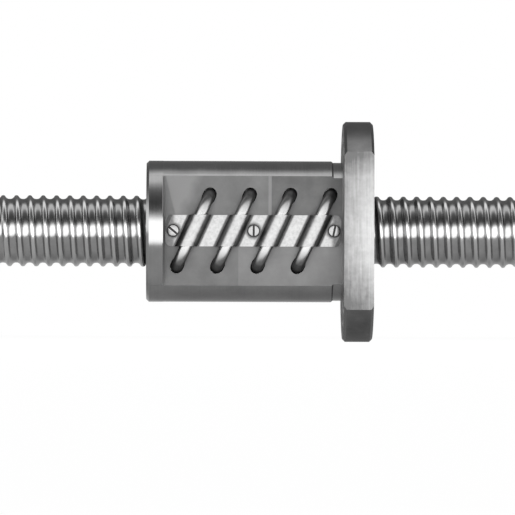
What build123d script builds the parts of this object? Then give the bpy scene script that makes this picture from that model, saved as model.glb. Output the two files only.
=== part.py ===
from build123d import *
import os
from math import atan2, cos, degrees, hypot, radians, sin, sqrt

# Ball screw with a flanged nut and four outside return tubes. The screw axis is X, the nut's tubes face
# -Y, and the origin is on the axis in the plane of the flange face that seats on the housing. Sizes in mm.

# Small rounds and tubes are polygons with this many sides
small_round_sides = 12

# Screw and ball track
screw_diameter = 32.0
track_pitch = 6.0  # one lead, because the track is single-start
section_turns = 3
thread_sections = 13
ball_diameter = 3.969
ball_circle_diameter = 32.8
track_conformity = 0.52  # radius of the track over the diameter of the ball
track_overcut = 0.3

# Nut body and flange
nut_diameter = 63.5
nut_bore_clearance = 0.4  # all round the screw
nut_lead_in = 1.2
barrel_relief = 0.05  # behind the pilot band
pilot_band = 7.6  # from the free end to the relief, which starts in the milled seat
neck_length = 4.5
neck_depth = 0.7
flange_diameter = 99.0
flange_thickness = 13.3
flange_width = 69.6  # across its two flats
flange_chamfer = 1.2

# Bolt holes of the flange
bolt_rim = 8.5  # from the bolt circle to the rim of the flange
bolt_hole_diameter = 9.0
bolts_per_side = 3
bolt_spread = 60.0  # degrees from the first to the last bolt of a side

# Milled seat for the tubes
seat_height = 20.1  # of the milled flat over the axis
seat_end_band = 7.5  # full round left at the free end
seat_fillet = 0.9
seat_run_out = 0.2  # of the cutter into the flange, inside the housing bore

# Return tubes
circuits = 4
circuit_pitch_turns = 3
circuit_turns = 2.5
first_circuit = 13.2  # middle of the first circuit, from the seat of the flange
last_circuit = 21.0  # middle of the last circuit, from the free end of the nut
tube_diameter = 5.2
tube_wall = 0.5
tube_rise = 0.6  # from the milled flat to the underside of a tube
tube_bend_radius = 5.4
tube_bend_chords = 3
tube_foot = 0.5  # from the middle plane of the screw to the end of a leg
tube_clearance = 0.4

# Tube clamp
clamp_width = 14.0
clamp_thickness = 0.9
clamp_corner = 2.5
clamp_clearance = 0.15
clamp_end_gap = 0.1  # from the fillets of the milled seat
clamp_slope = 15.0  # degrees that the sides of a saddle lean from upright

# Clamp screws
clamp_screws = 3
clamp_screw_diameter = 3.0
clamp_screw_reach = 2.6  # into the nut
clamp_screw_clearance = 0.1
clamp_screw_run_out = 0.4  # of its hole past its end
clamp_hole_clearance = 0.2
clamp_head_diameter = 5.6
clamp_head_height = 1.9
clamp_slot_width = 0.9
clamp_slot_depth = 0.8

# Wipers
wiper_diameter = 40.0
wiper_thickness = 4.6
wiper_recess = 5.0
wiper_clearance = 0.05
wiper_lip_clearance = 0.15  # from the screw

# Ends of the screw
journal_diameter = 25.0
support_journal_length = 24.0
bearing_journal_length = 46.0
drive_journal_diameter = 20.0
drive_journal_length = 34.0
end_chamfer = 1.0

# Retaining ring on the support journal
ring_groove_diameter = 23.9
ring_groove_width = 1.3
ring_groove_tail = 5.0  # from the groove to the end of the shaft
ring_width = 2.2
ring_clearance = 0.05
ring_gap = 6.0

# Worked out from the sizes above
screw_radius = screw_diameter / 2
nut_radius = nut_diameter / 2
bore_radius = screw_radius + nut_bore_clearance
barrel_radius = nut_radius - barrel_relief
neck_radius = nut_radius - neck_depth
flange_radius = flange_diameter / 2
bolt_circle_radius = flange_radius - bolt_rim
recess_radius = wiper_diameter / 2
ball_circle_radius = ball_circle_diameter / 2
track_radius = track_conformity * ball_diameter
track_depth = screw_radius - ball_circle_radius + track_radius
track_half_width = sqrt(track_radius**2 - (ball_circle_radius - screw_radius) ** 2)
circuit_pitch = circuit_pitch_turns * track_pitch
circuit_span = circuit_turns * track_pitch
circuit_centres = [-first_circuit - circuit_pitch * k for k in range(circuits)]
tubes_centre = sum(circuit_centres) / circuits
nut_length = last_circuit - circuit_centres[-1]
tube_radius = tube_diameter / 2
tube_height = seat_height + tube_rise + tube_radius
tube_half_span = hypot(circuit_span, ball_circle_diameter) / 2
tube_slant = atan2(circuit_span, ball_circle_diameter)
tube_along = (sin(tube_slant), 0, cos(tube_slant))
tube_across = (cos(tube_slant), 0, -sin(tube_slant))
section_length = section_turns * track_pitch
thread_length = thread_sections * section_length
first_track = circuit_centres[0] + circuit_span / 2
nut_middle = (flange_thickness - nut_length) / 2
turns_before = round((first_track - nut_middle + thread_length / 2) / track_pitch)
thread_start = first_track - track_pitch * turns_before
thread_end = thread_start + thread_length
shaft_start = thread_start - support_journal_length
shaft_end = thread_end + bearing_journal_length + drive_journal_length
drive_start = shaft_end - drive_journal_length
ring_groove_start = shaft_start + ring_groove_tail
ring_groove_end = ring_groove_start + ring_groove_width

os.makedirs("parts", exist_ok=True)

# Cutter for one section of the ball track, a gothic groove with straight flanks
flank_slope = track_half_width / track_depth
with BuildPart() as track_cutter:
    with BuildLine() as track:
        Helix(
            track_pitch,
            section_length + 2 * track_pitch,
            screw_radius,
            center=(-track_pitch, 0, 0),
            direction=(1, 0, 0),
        )
    with BuildSketch(Plane(origin=track.line @ 0, x_dir=(0, 0, 1), z_dir=track.line % 0)):
        with BuildLine():
            Polyline(
                (-track_depth, 0),
                (track_overcut, track_half_width + track_overcut * flank_slope),
                (track_overcut, -track_half_width - track_overcut * flank_slope),
                close=True,
            )
        make_face()
    sweep(path=track.line, is_frenet=True)

# A section of the thread is a whole number of turns, so its copies join into one track
with BuildPart() as thread_section:
    with BuildSketch(Plane.YZ):
        Circle(screw_radius)
    extrude(amount=section_length)
    add(track_cutter.part, mode=Mode.SUBTRACT)

# Threaded shaft, turned down to a journal at each end. Its track passes the upper leg of every tube.
with BuildPart() as screw_shaft:
    with Locations(*[(thread_start + section_length * k, 0, 0) for k in range(thread_sections)]):
        add(thread_section.part)
    with BuildSketch(Plane.XY):
        with BuildLine():
            Polyline(
                (thread_start, 0),
                (shaft_start, 0),
                (shaft_start, journal_diameter / 2 - end_chamfer),
                (shaft_start + end_chamfer, journal_diameter / 2),
                (ring_groove_start, journal_diameter / 2),
                (ring_groove_start, ring_groove_diameter / 2),
                (ring_groove_end, ring_groove_diameter / 2),
                (ring_groove_end, journal_diameter / 2),
                (thread_start, journal_diameter / 2),
                close=True,
            )
        make_face()
        with BuildLine():
            Polyline(
                (thread_end, 0),
                (thread_end, journal_diameter / 2),
                (drive_start, journal_diameter / 2),
                (drive_start, drive_journal_diameter / 2),
                (shaft_end - end_chamfer, drive_journal_diameter / 2),
                (shaft_end, drive_journal_diameter / 2 - end_chamfer),
                (shaft_end, 0),
                close=True,
            )
        make_face()
    revolve(axis=Axis.X)
screw_shaft.part.label = "screw_shaft"
export_step(screw_shaft.part, "parts/screw_shaft.step")

# Path of a return tube in its own plane: up one leg, over the milled flat, down the other leg. The bends
# are short chords between points on their arcs.
bend_steps = [radians(90 * k / tube_bend_chords) for k in range(tube_bend_chords + 1)]
bend_centre_x = tube_half_span - tube_bend_radius
bend_centre_y = tube_height - tube_bend_radius
rising_bend = [
    (-bend_centre_x - tube_bend_radius * cos(a), bend_centre_y + tube_bend_radius * sin(a))
    for a in bend_steps
]
falling_bend = [(-x, y) for x, y in reversed(rising_bend)]
tube_points = [(-tube_half_span, tube_foot), *rising_bend, *falling_bend, (tube_half_span, tube_foot)]

# Return tubes, whose legs lie along the ball circle and are cut off at a slant beside the screw
for k, centre in enumerate(circuit_centres):
    with BuildPart() as return_tube:
        with BuildLine(Plane(origin=(centre, 0, 0), x_dir=tube_along, z_dir=tube_across)) as route:
            Polyline(*tube_points)
        with BuildSketch(Plane(origin=route.line @ 0, x_dir=tube_along, z_dir=(0, -1, 0))):
            RegularPolygon(tube_radius, small_round_sides)
            RegularPolygon(tube_radius - tube_wall, small_round_sides, mode=Mode.SUBTRACT)
        sweep(path=route.line, transition=Transition.RIGHT)
        with BuildSketch(Plane.YZ.offset(centre - circuit_span)):
            RegularPolygon(screw_radius + tube_clearance, small_round_sides, major_radius=False)
        extrude(amount=2 * circuit_span, mode=Mode.SUBTRACT)
    return_tube.part.label = f"return_tube_{k + 1}"
    export_step(return_tube.part, f"parts/return_tube_{k + 1}.step")

# Places of the clamp screws, one between each pair of tubes next to it and one at each end
screw_pitch = circuit_pitch * circuits / (clamp_screws - 1)
screw_places = [tubes_centre + screw_pitch * (k - (clamp_screws - 1) / 2) for k in range(clamp_screws)]

# Cutter for the milled seat of the tubes, which ends inside the bore of the housing
seat_start = -nut_length + seat_end_band
with BuildPart() as seat_cutter:
    with BuildSketch(Plane.XY):
        with Locations((seat_start, -seat_height)):
            Rectangle(seat_run_out - seat_start, nut_radius, align=(Align.MIN, Align.MAX))
        fillet(vertices().group_by(Axis.Y)[-1], seat_fillet)
    extrude(amount=nut_radius, both=True)
    with BuildSketch(Plane.YZ.offset(seat_start - seat_run_out)):
        Circle(nut_radius + seat_run_out)
    extrude(amount=3 * seat_run_out - seat_start, mode=Mode.INTERSECT)

# Nut: a turned body with its flange, milled flat on the tube side
leg_hole_radius = tube_radius + tube_clearance
bend_depth = seat_height - bend_centre_y
bend_inside = tube_bend_radius * cos(radians(45 / tube_bend_chords)) - leg_hole_radius
leg_hole_reach = sqrt(max(bend_inside**2 - bend_depth**2, 0))
leg_hole_stretch = tube_bend_radius - leg_hole_reach - leg_hole_radius
with BuildPart() as nut_body:
    with BuildSketch(Plane.XY):
        with BuildLine():
            Polyline(
                (-nut_length, recess_radius),
                (-nut_length, nut_radius - nut_lead_in),
                (-nut_length + nut_lead_in, nut_radius),
                (-nut_length + pilot_band, nut_radius),
                (-nut_length + pilot_band, barrel_radius),
                (-neck_length - neck_depth, barrel_radius),
                (-neck_length, neck_radius),
                (0, neck_radius),
                (0, flange_radius - flange_chamfer),
                (flange_chamfer, flange_radius),
                (flange_thickness - flange_chamfer, flange_radius),
                (flange_thickness, flange_radius - flange_chamfer),
                (flange_thickness, recess_radius),
                (flange_thickness - wiper_recess, recess_radius),
                (flange_thickness - wiper_recess, bore_radius),
                (-nut_length + wiper_recess, bore_radius),
                (-nut_length + wiper_recess, recess_radius),
                close=True,
            )
        make_face()
    revolve(axis=Axis.X)
    with BuildSketch(Plane.YZ):
        Rectangle(2 * flange_diameter, 2 * flange_diameter)
        Rectangle(flange_width, 2 * flange_diameter, mode=Mode.SUBTRACT)
        for side in (90, 270):
            first_bolt = side - bolt_spread / 2
            with PolarLocations(bolt_circle_radius, bolts_per_side, first_bolt, bolt_spread, endpoint=True):
                Circle(bolt_hole_diameter / 2)
    extrude(amount=flange_thickness, mode=Mode.SUBTRACT)
    add(seat_cutter.part, mode=Mode.SUBTRACT)
    with BuildSketch(Plane.XZ.offset(seat_height)):
        for centre in circuit_centres:
            with Locations(Location((centre, 0), 90 - degrees(tube_slant))):
                with GridLocations(2 * tube_half_span, 0, 2, 1):
                    RegularPolygon(leg_hole_radius, small_round_sides)
                with GridLocations(2 * (tube_half_span - leg_hole_stretch), 0, 2, 1):
                    RegularPolygon(leg_hole_radius, small_round_sides)
                with GridLocations(2 * tube_half_span - leg_hole_stretch, 0, 2, 1):
                    Rectangle(leg_hole_stretch, 2 * leg_hole_radius)
    extrude(amount=-seat_height, mode=Mode.SUBTRACT)
    with BuildSketch(Plane.XZ.offset(seat_height)):
        with Locations(*[(place, 0) for place in screw_places]):
            RegularPolygon(clamp_screw_diameter / 2 + clamp_screw_clearance, small_round_sides)
    extrude(amount=-clamp_screw_reach - clamp_screw_run_out, mode=Mode.SUBTRACT)
nut_body.part.label = "nut_body"
export_step(nut_body.part, "parts/nut_body.step")

# Clamp: a strip with a saddle over each tube, pressed to one section across the tubes and cut to length
saddle_inside = tube_radius + clamp_clearance
saddle_outside = saddle_inside + clamp_thickness
saddle_base = seat_height - tube_height
clamp_length = -seat_start - 2 * (seat_fillet + clamp_end_gap)


def saddle(middle, reach):
    """Outline of a saddle whose top and leaning sides stay the same reach from the tube's centre."""
    lean = radians(clamp_slope)
    top = reach * (1 - sin(lean)) / cos(lean)
    base = (reach - saddle_base * sin(lean)) / cos(lean)
    return [
        (middle - base, saddle_base),
        (middle - top, reach),
        (middle + top, reach),
        (middle + base, saddle_base),
    ]


saddle_middles = [(centre - tubes_centre) * cos(tube_slant) for centre in circuit_centres]
with BuildPart() as tube_clamp:
    clamp_section = Plane(
        origin=(tubes_centre, -tube_height, 0), x_dir=tube_across, z_dir=(-tube_along[0], 0, -tube_along[2])
    )
    with BuildSketch(clamp_section):
        with Locations((0, saddle_base)):
            Rectangle(2 * nut_length, clamp_thickness, align=(Align.CENTER, Align.MIN))
        for reach, mode in ((saddle_outside, Mode.ADD), (saddle_inside, Mode.SUBTRACT)):
            for middle in saddle_middles:
                with BuildLine():
                    Polyline(*saddle(middle, reach), close=True)
                make_face(mode=mode)
    extrude(amount=nut_radius, both=True)
    with BuildSketch(Plane.XZ.offset(seat_height)):
        with Locations((seat_start / 2, 0)):
            RectangleRounded(clamp_length, clamp_width, clamp_corner)
        with Locations(*[(place, 0) for place in screw_places]):
            RegularPolygon(
                clamp_screw_diameter / 2 + clamp_hole_clearance, small_round_sides, mode=Mode.SUBTRACT
            )
    extrude(amount=nut_radius, mode=Mode.INTERSECT)
tube_clamp.part.label = "tube_clamp"
export_step(tube_clamp.part, "parts/tube_clamp.step")

# Slotted cheese-head screws that hold the clamp down on the milled flat
for k, place in enumerate(screw_places):
    with BuildPart() as clamp_screw:
        with BuildSketch(Plane.XZ.offset(seat_height + clamp_thickness)):
            with Locations((place, 0)):
                RegularPolygon(clamp_head_diameter / 2, small_round_sides)
        extrude(amount=clamp_head_height)
        with BuildSketch(Plane.XZ.offset(seat_height + clamp_thickness)):
            with Locations((place, 0)):
                RegularPolygon(clamp_screw_diameter / 2, small_round_sides)
        extrude(amount=-clamp_thickness - clamp_screw_reach)
        with BuildSketch(Plane.XZ.offset(seat_height + clamp_thickness + clamp_head_height)):
            with Locations((place, 0)):
                Rectangle(clamp_slot_width, clamp_head_diameter)
        extrude(amount=-clamp_slot_depth, mode=Mode.SUBTRACT)
    clamp_screw.part.label = f"clamp_screw_{k + 1}"
    export_step(clamp_screw.part, f"parts/clamp_screw_{k + 1}.step")

# Wipers in the recesses at the two ends of the nut
wiper_starts = {
    "wiper_front": flange_thickness - wiper_recess + wiper_clearance,
    "wiper_rear": -nut_length + wiper_recess - wiper_clearance - wiper_thickness,
}
for name, start in wiper_starts.items():
    with BuildPart() as wiper:
        with BuildSketch(Plane.YZ.offset(start)):
            Circle(recess_radius - wiper_clearance)
            Circle(screw_radius + wiper_lip_clearance, mode=Mode.SUBTRACT)
        extrude(amount=wiper_thickness)
    wiper.part.label = name
    export_step(wiper.part, f"parts/{name}.step")

# Retaining ring, open at the bottom, in its groove on the support journal
ring_inside = ring_groove_diameter / 2 + ring_clearance
ring_outside = ring_inside + ring_width
with BuildPart() as retaining_ring:
    with BuildSketch(Plane.YZ.offset(ring_groove_start + ring_clearance)):
        Circle(ring_outside)
        Circle(ring_inside, mode=Mode.SUBTRACT)
        Rectangle(ring_gap, ring_outside, align=(Align.CENTER, Align.MAX), mode=Mode.SUBTRACT)
    extrude(amount=ring_groove_width - 2 * ring_clearance)
retaining_ring.part.label = "retaining_ring"
export_step(retaining_ring.part, "parts/retaining_ring.step")
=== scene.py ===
import math

import bmesh
import bpy
import mathutils
import numpy as np
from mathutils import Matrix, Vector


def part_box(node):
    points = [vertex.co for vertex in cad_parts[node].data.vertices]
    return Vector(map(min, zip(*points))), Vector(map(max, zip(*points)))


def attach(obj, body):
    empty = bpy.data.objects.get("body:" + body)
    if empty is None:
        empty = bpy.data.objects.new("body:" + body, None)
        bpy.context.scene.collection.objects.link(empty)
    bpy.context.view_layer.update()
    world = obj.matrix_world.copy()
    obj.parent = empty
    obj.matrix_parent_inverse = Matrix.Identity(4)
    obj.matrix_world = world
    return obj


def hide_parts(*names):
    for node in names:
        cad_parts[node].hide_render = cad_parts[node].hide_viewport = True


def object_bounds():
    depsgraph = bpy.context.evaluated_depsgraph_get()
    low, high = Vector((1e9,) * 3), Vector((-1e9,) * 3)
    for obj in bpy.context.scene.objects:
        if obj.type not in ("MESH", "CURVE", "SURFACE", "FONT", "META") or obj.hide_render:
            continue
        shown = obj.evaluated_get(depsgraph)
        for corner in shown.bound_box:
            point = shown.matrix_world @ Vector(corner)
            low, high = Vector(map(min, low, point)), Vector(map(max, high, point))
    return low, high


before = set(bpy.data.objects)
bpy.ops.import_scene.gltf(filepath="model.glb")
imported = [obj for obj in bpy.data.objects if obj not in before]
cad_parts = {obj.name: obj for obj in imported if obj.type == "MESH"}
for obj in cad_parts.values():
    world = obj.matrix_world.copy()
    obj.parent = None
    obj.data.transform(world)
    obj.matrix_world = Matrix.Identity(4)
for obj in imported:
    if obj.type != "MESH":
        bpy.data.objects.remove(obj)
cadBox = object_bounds()
print("frame loaded:", len(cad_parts), "nodes")

# Lengths and places are in millimetres, with the screw along X, but for the studio's, which are in metres
mm = 0.001
mergeDistance = 0.002
emptyDistance = 0.0001
flatAngle = 0.6  # degrees under which the solids' triangles make one face


# Arrays to meshes

def gridFaces(rows, columns, closeRows=False, closeColumns=False):
    # one quad for each cell of the grid; the last row or column joins the first where it closes
    row, column = np.meshgrid(
        np.arange(rows if closeRows else rows - 1),
        np.arange(columns if closeColumns else columns - 1),
        indexing="ij",
    )
    nextRow, nextColumn = (row + 1) % rows, (column + 1) % columns
    corners = [
        row * columns + column,
        row * columns + nextColumn,
        nextRow * columns + nextColumn,
        nextRow * columns + column,
    ]
    return np.stack(corners, axis=-1).reshape(-1, 4)


def addObject(name, data):
    made = bpy.data.objects.new(name, data)
    bpy.context.scene.collection.objects.link(made)
    return made


def smoothUpTo(mesh, angle):
    # smooth shading that breaks at edges sharper than the angle in degrees
    mesh.shade_smooth()
    mesh.set_sharp_from_angle(angle=math.radians(angle))


def newPiece(name, points, faces, sharpAngle=35.0):
    # points in millimetres become a closed mesh in metres, merged and facing outwards
    mesh = bpy.data.meshes.new(name)
    mesh.from_pydata(np.asarray(points, float) * mm, [], np.asarray(faces).tolist())
    work = bmesh.new()
    work.from_mesh(mesh)
    bmesh.ops.remove_doubles(work, verts=work.verts, dist=mergeDistance * mm)
    bmesh.ops.dissolve_degenerate(work, edges=work.edges, dist=emptyDistance * mm)
    bmesh.ops.recalc_face_normals(work, faces=work.faces)
    work.to_mesh(mesh)
    work.free()
    smoothUpTo(mesh, sharpAngle)
    return addObject(name, mesh)


def brokenEdges(nodeName, name, width, angle):
    # a merged copy of a solid whose edges sharper than the angle get a small bevel
    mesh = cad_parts[nodeName].data.copy()
    mesh.name = name
    work = bmesh.new()
    work.from_mesh(mesh)
    bmesh.ops.remove_doubles(work, verts=work.verts, dist=mergeDistance * mm)
    bmesh.ops.dissolve_limit(work, angle_limit=math.radians(flatAngle), verts=work.verts, edges=work.edges)
    work.to_mesh(mesh)
    work.free()
    mesh.materials.clear()
    piece = addObject(name, mesh)
    bevel = piece.modifiers.new("brokenEdges", "BEVEL")
    bevel.width = width * mm
    bevel.segments = 2
    bevel.limit_method = "ANGLE"
    bevel.angle_limit = math.radians(angle)
    smoothUpTo(mesh, angle)
    weigh = piece.modifiers.new("flatFaces", "WEIGHTED_NORMAL")
    weigh.mode = "FACE_AREA"
    weigh.keep_sharp = True
    weigh.weight = 100
    return piece


def joined(parts):
    # several (points, faces) pairs as one pair
    points, faces, count = [], [], 0
    for partPoints, partFaces in parts:
        points.append(np.asarray(partPoints, float).reshape(-1, 3))
        faces.extend((np.asarray(partFaces) + count).tolist())
        count += len(points[-1])
    return np.concatenate(points), faces


def turned(profile, segments):
    # a profile of (x, radius) carried round the X axis: y = -r sin a, z = r cos a
    x, radius = np.asarray(profile, float).T
    angle = 2 * np.pi * np.arange(segments)[:, None] / segments
    points = [np.broadcast_to(x, (segments, len(x))), -radius * np.sin(angle), radius * np.cos(angle)]
    return np.stack(points, axis=-1).reshape(-1, 3), gridFaces(segments, len(x), closeRows=True)


def smoothRise(value, low, high):
    # 0 below the low value, 1 above the high one, with a smooth S between
    t = np.clip((value - low) / (high - low), 0, 1)
    return t * t * (3 - 2 * t)


def markPaintedShade(piece, measure):
    # painted shade as a point attribute, worked out from the piece's own points in millimetres
    points = np.zeros(3 * len(piece.data.vertices))
    piece.data.vertices.foreach_get("co", points)
    mark = piece.data.attributes.new("paintedShade", "FLOAT", "POINT")
    mark.data.foreach_set("value", measure(points.reshape(-1, 3) / mm))


def nodeBox(name):
    low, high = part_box(name)
    return np.array(low) / mm, np.array(high) / mm


# Screw: one strip of the thread section, wound along the shaft, with the journals turned at its ends

screw = {
    "crestRadius": 16.0,
    "pitch": 6.0,
    "ballCircleRadius": 16.4,
    "rootRadius": 14.34,
    "edgeRadius": 15.72,
    "halfWidth": 2.2,  # of the ball track
    "trackPower": 2.8,
    "crestPower": 2.6,
    "crestReach": 0.6,  # outermost points of the crest, as a share of half its width
    "trackPoints": 11,
    "crestPoints": 4,
    "stepsPerTurn": 72,
    "spareTurns": 2,  # wound past either end of the thread and pressed back onto it
    "endChamfer": 0.8,
    "journalRadius": 12.5,
    "driveRadius": 10.0,
    "supportLength": 24.0,
    "bearingLength": 46.0,
    "driveLength": 34.0,
    "grooveTail": 5.0,
    "grooveWidth": 1.3,
    "grooveRadius": 11.95,
    "edge": 1.0,
    "shoulderEdge": 0.4,
    "centreRadius": 4.0,
    "centreBore": 1.6,
}
screwLow, screwHigh = nodeBox("screw_shaft")
threadStart = screwLow[0] + screw["supportLength"]
threadEnd = screwHigh[0] - screw["driveLength"] - screw["bearingLength"]


def trackSection():
    # over one pitch, from one edge of the track to the next: root radius plus depth times distance from the
    # middle to the track's power, then the rounded crest, lower by its own power of the distance
    s = screw
    along = np.linspace(-1, 1, s["trackPoints"])
    track = s["rootRadius"] + (s["edgeRadius"] - s["rootRadius"]) * np.abs(along) ** s["trackPower"]
    across = np.linspace(-s["crestReach"], s["crestReach"], s["crestPoints"])
    crest = s["crestRadius"] - (s["crestRadius"] - s["edgeRadius"]) * np.abs(across) ** s["crestPower"]
    land = s["pitch"] / 2 - s["halfWidth"]
    x = np.concatenate([along * s["halfWidth"], s["pitch"] / 2 + across * land])
    return x, np.concatenate([track, crest])


def makeThread():
    # the section carried round the X axis and along it by one pitch a turn: y = -r sin a, z = r cos a
    s = screw
    sectionX, sectionR = trackSection()
    steps = s["stepsPerTurn"]
    first = threadStart - s["spareTurns"] * s["pitch"]
    turns = int(round((threadEnd - first) / s["pitch"])) + s["spareTurns"]
    row = np.arange(turns * steps + steps + 1)
    x = first + s["pitch"] * row[:, None] / steps + sectionX[None, :]
    angle = np.broadcast_to(2 * np.pi * row[:, None] / steps, x.shape)
    # at each end the thread is turned down over a short cone to the journal
    fromEnd = np.minimum(x - threadStart, threadEnd - x)
    cone = s["journalRadius"] + (s["crestRadius"] - s["journalRadius"]) * fromEnd / s["endChamfer"]
    radius = np.maximum(s["journalRadius"], np.minimum(sectionR[None, :], cone))
    x = np.clip(x, threadStart, threadEnd)
    thread = np.stack([x, -radius * np.sin(angle), radius * np.cos(angle)], axis=-1)
    # the last column of a row joins the first column of the row one turn on
    columns = len(sectionX)
    r, c = np.meshgrid(np.arange(len(row) - steps - 1), np.arange(columns), indexing="ij")
    near, nearNext = r * columns + c, (r + 1) * columns + c
    far = np.where(c + 1 < columns, near + 1, (r + steps) * columns)
    farNext = np.where(c + 1 < columns, nearNext + 1, (r + 1 + steps) * columns)
    return thread, np.stack([near, nearNext, farNext, far], axis=-1).reshape(-1, 4)


def centreHole(x, inwards):
    # edge, cone and bore of a centre hole; inwards is the direction into the shaft, 1 or -1
    cone, bore = screw["centreRadius"], screw["centreBore"]
    coneEnd, boreEnd = x + inwards * cone, x + inwards * 2 * cone
    return [(x, cone), (coneEnd, bore), (boreEnd, bore), (boreEnd, 0.0)]


def makeScrew():
    # thread, and both journals from the thread outwards
    s = screw
    start, end = screwLow[0], screwHigh[0]
    groove = start + s["grooveTail"]
    support = [
        (threadStart, s["journalRadius"]),
        (groove + s["grooveWidth"], s["journalRadius"]),
        (groove + s["grooveWidth"], s["grooveRadius"]),
        (groove, s["grooveRadius"]),
        (groove, s["journalRadius"]),
        (start + s["edge"], s["journalRadius"]),
        (start, s["journalRadius"] - s["edge"]),
        *centreHole(start, 1),
    ]
    shoulder = end - s["driveLength"]
    drive = [
        (threadEnd, s["journalRadius"]),
        (shoulder - s["shoulderEdge"], s["journalRadius"]),
        (shoulder, s["journalRadius"] - s["shoulderEdge"]),
        (shoulder, s["driveRadius"]),
        (end - s["edge"], s["driveRadius"]),
        (end, s["driveRadius"] - s["edge"]),
        *centreHole(end, -1),
    ]
    parts = [makeThread(), turned(support, s["stepsPerTurn"]), turned(drive, s["stepsPerTurn"])]
    return newPiece("screwShaft", *joined(parts), sharpAngle=40)


screwPiece = makeScrew()
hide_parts("screw_shaft")
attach(screwPiece, "screw")
print("screw made:", len(screwPiece.data.polygons), "faces")


# Nut: the solid's own faces, merged, with its sharp edges broken

nut = {"edgeBreak": 0.3, "edgeAngle": 28.0, "seatHeight": 20.1}

nutPiece = brokenEdges("nut_body", "nutBody", nut["edgeBreak"], nut["edgeAngle"])
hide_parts("nut_body")
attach(nutPiece, "nut")
print("nut made")


# Return tubes: a wall carried along the leg, bend, crossing, bend and leg of each circuit

tube = {
    "count": 4,
    "firstMiddle": -13.2,
    "pitch": 18.0,
    "halfSpanX": 7.5,
    "radius": 2.6,
    "wall": 0.5,
    "height": 23.3,
    "bendRadius": 5.4,
    "foot": 0.5,
    "scoopRadius": 16.2,
    "flatTo": 10.5,
    "flatFade": 4.0,
    "flattening": 0.35,
    "segments": 32,
    "legRows": 5,
    "bendSteps": 10,
    "crossingRows": 23,
}
# painted shade on the tubes: how dark, and where
tubeShade = {
    "sides": 0.85,
    "sideHeights": (1.0, 2.0),  # over the tube's middle
    "holeHeights": (1.3, 2.9),  # over the milled flat
    "dimmed": 0.6,
    "dimReach": (6.5, 15.5),
}
tubeSlant = math.atan2(2 * tube["halfSpanX"], 2 * screw["ballCircleRadius"])
tubeHalfSpan = math.hypot(tube["halfSpanX"], screw["ballCircleRadius"])
tubesMiddle = tube["firstMiddle"] - tube["pitch"] * (tube["count"] - 1) / 2


def tubePath():
    # distances along the slant and out from the axis, with the direction of travel at each point
    t = tube
    turn = np.linspace(0, np.pi / 2, t["bendSteps"] + 1)
    legs = np.linspace(t["foot"], t["height"] - t["bendRadius"], t["legRows"] + 1)[:-1]
    u = np.concatenate([np.zeros(t["legRows"]), t["bendRadius"] * (1 - np.cos(turn))]) - tubeHalfSpan
    v = np.concatenate([legs, t["height"] - t["bendRadius"] * (1 - np.sin(turn))])
    slope = np.concatenate([np.full(t["legRows"], np.pi / 2), np.pi / 2 - turn])
    crossing = np.linspace(u[-1], -u[-1], t["crossingRows"] + 2)[1:-1]
    u = np.concatenate([u, crossing, -u[::-1]])
    v = np.concatenate([v, np.full(t["crossingRows"], t["height"]), v[::-1]])
    slope = np.concatenate([slope, np.zeros(t["crossingRows"]), -slope[::-1]])
    return u, v, slope


def makeTube(index):
    # a circle carried along the tube's path, its upper half raised to a power under the clamp, which flattens
    # it; no point lies nearer to the screw's axis than the scoop's radius
    t = tube
    u, v, slope = tubePath()
    angle = 2 * np.pi * np.arange(t["segments"]) / t["segments"]
    middle = 1 - smoothRise(np.abs(u), t["flatTo"], t["flatTo"] + t["flatFade"])
    power = np.where(np.cos(angle) > 0, 1 - t["flattening"] * middle[:, None], 1.0)
    out = np.sign(np.cos(angle)) * np.abs(np.cos(angle)) ** power
    side = np.sign(np.sin(angle)) * np.abs(np.sin(angle)) ** power
    shells = []
    for radius in (t["radius"], t["radius"] - t["wall"]):
        pathU = u[:, None] - radius * out * np.sin(slope)[:, None]
        pathV = v[:, None] + radius * out * np.cos(slope)[:, None]
        across = radius * side
        x = t["firstMiddle"] - t["pitch"] * index + pathU * math.sin(tubeSlant) + across * math.cos(tubeSlant)
        z = pathU * math.cos(tubeSlant) - across * math.sin(tubeSlant)
        clear = np.sqrt(np.maximum(t["scoopRadius"] ** 2 - z**2, 0))
        shells.append(np.stack([x, -np.maximum(pathV, clear), z], axis=-1))
    outer, inner = shells
    points = np.concatenate([outer, inner[::-1]])
    faces = gridFaces(2 * len(outer), t["segments"], closeRows=True, closeColumns=True)
    return newPiece(f"returnTube{index + 1}", points.reshape(-1, 3), faces, sharpAngle=50)


def paintedShadeOnTube(points):
    # painted shade on the sides, below a height over the tube's middle, and where a leg goes into its hole;
    # outside the clamp the crown is painted darker too, more so towards the ends
    d = tubeShade
    up = -points[:, 1]
    sides = d["sides"] * (1 - smoothRise(up - tube["height"], *d["sideHeights"]))
    hole = 1 - smoothRise(up - nut["seatHeight"], *d["holeHeights"])
    outwards = d["dimmed"] * smoothRise(np.abs(points[:, 2]), *d["dimReach"])
    return np.max([sides, hole, outwards], axis=0)


tubePieces = [makeTube(index) for index in range(tube["count"])]
for index, piece in enumerate(tubePieces):
    markPaintedShade(piece, paintedShadeOnTube)
    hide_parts(f"return_tube_{index + 1}")
    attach(piece, "nut")
print("tubes made")


# Clamp: pressed sheet with a saddle over each tube

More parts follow.
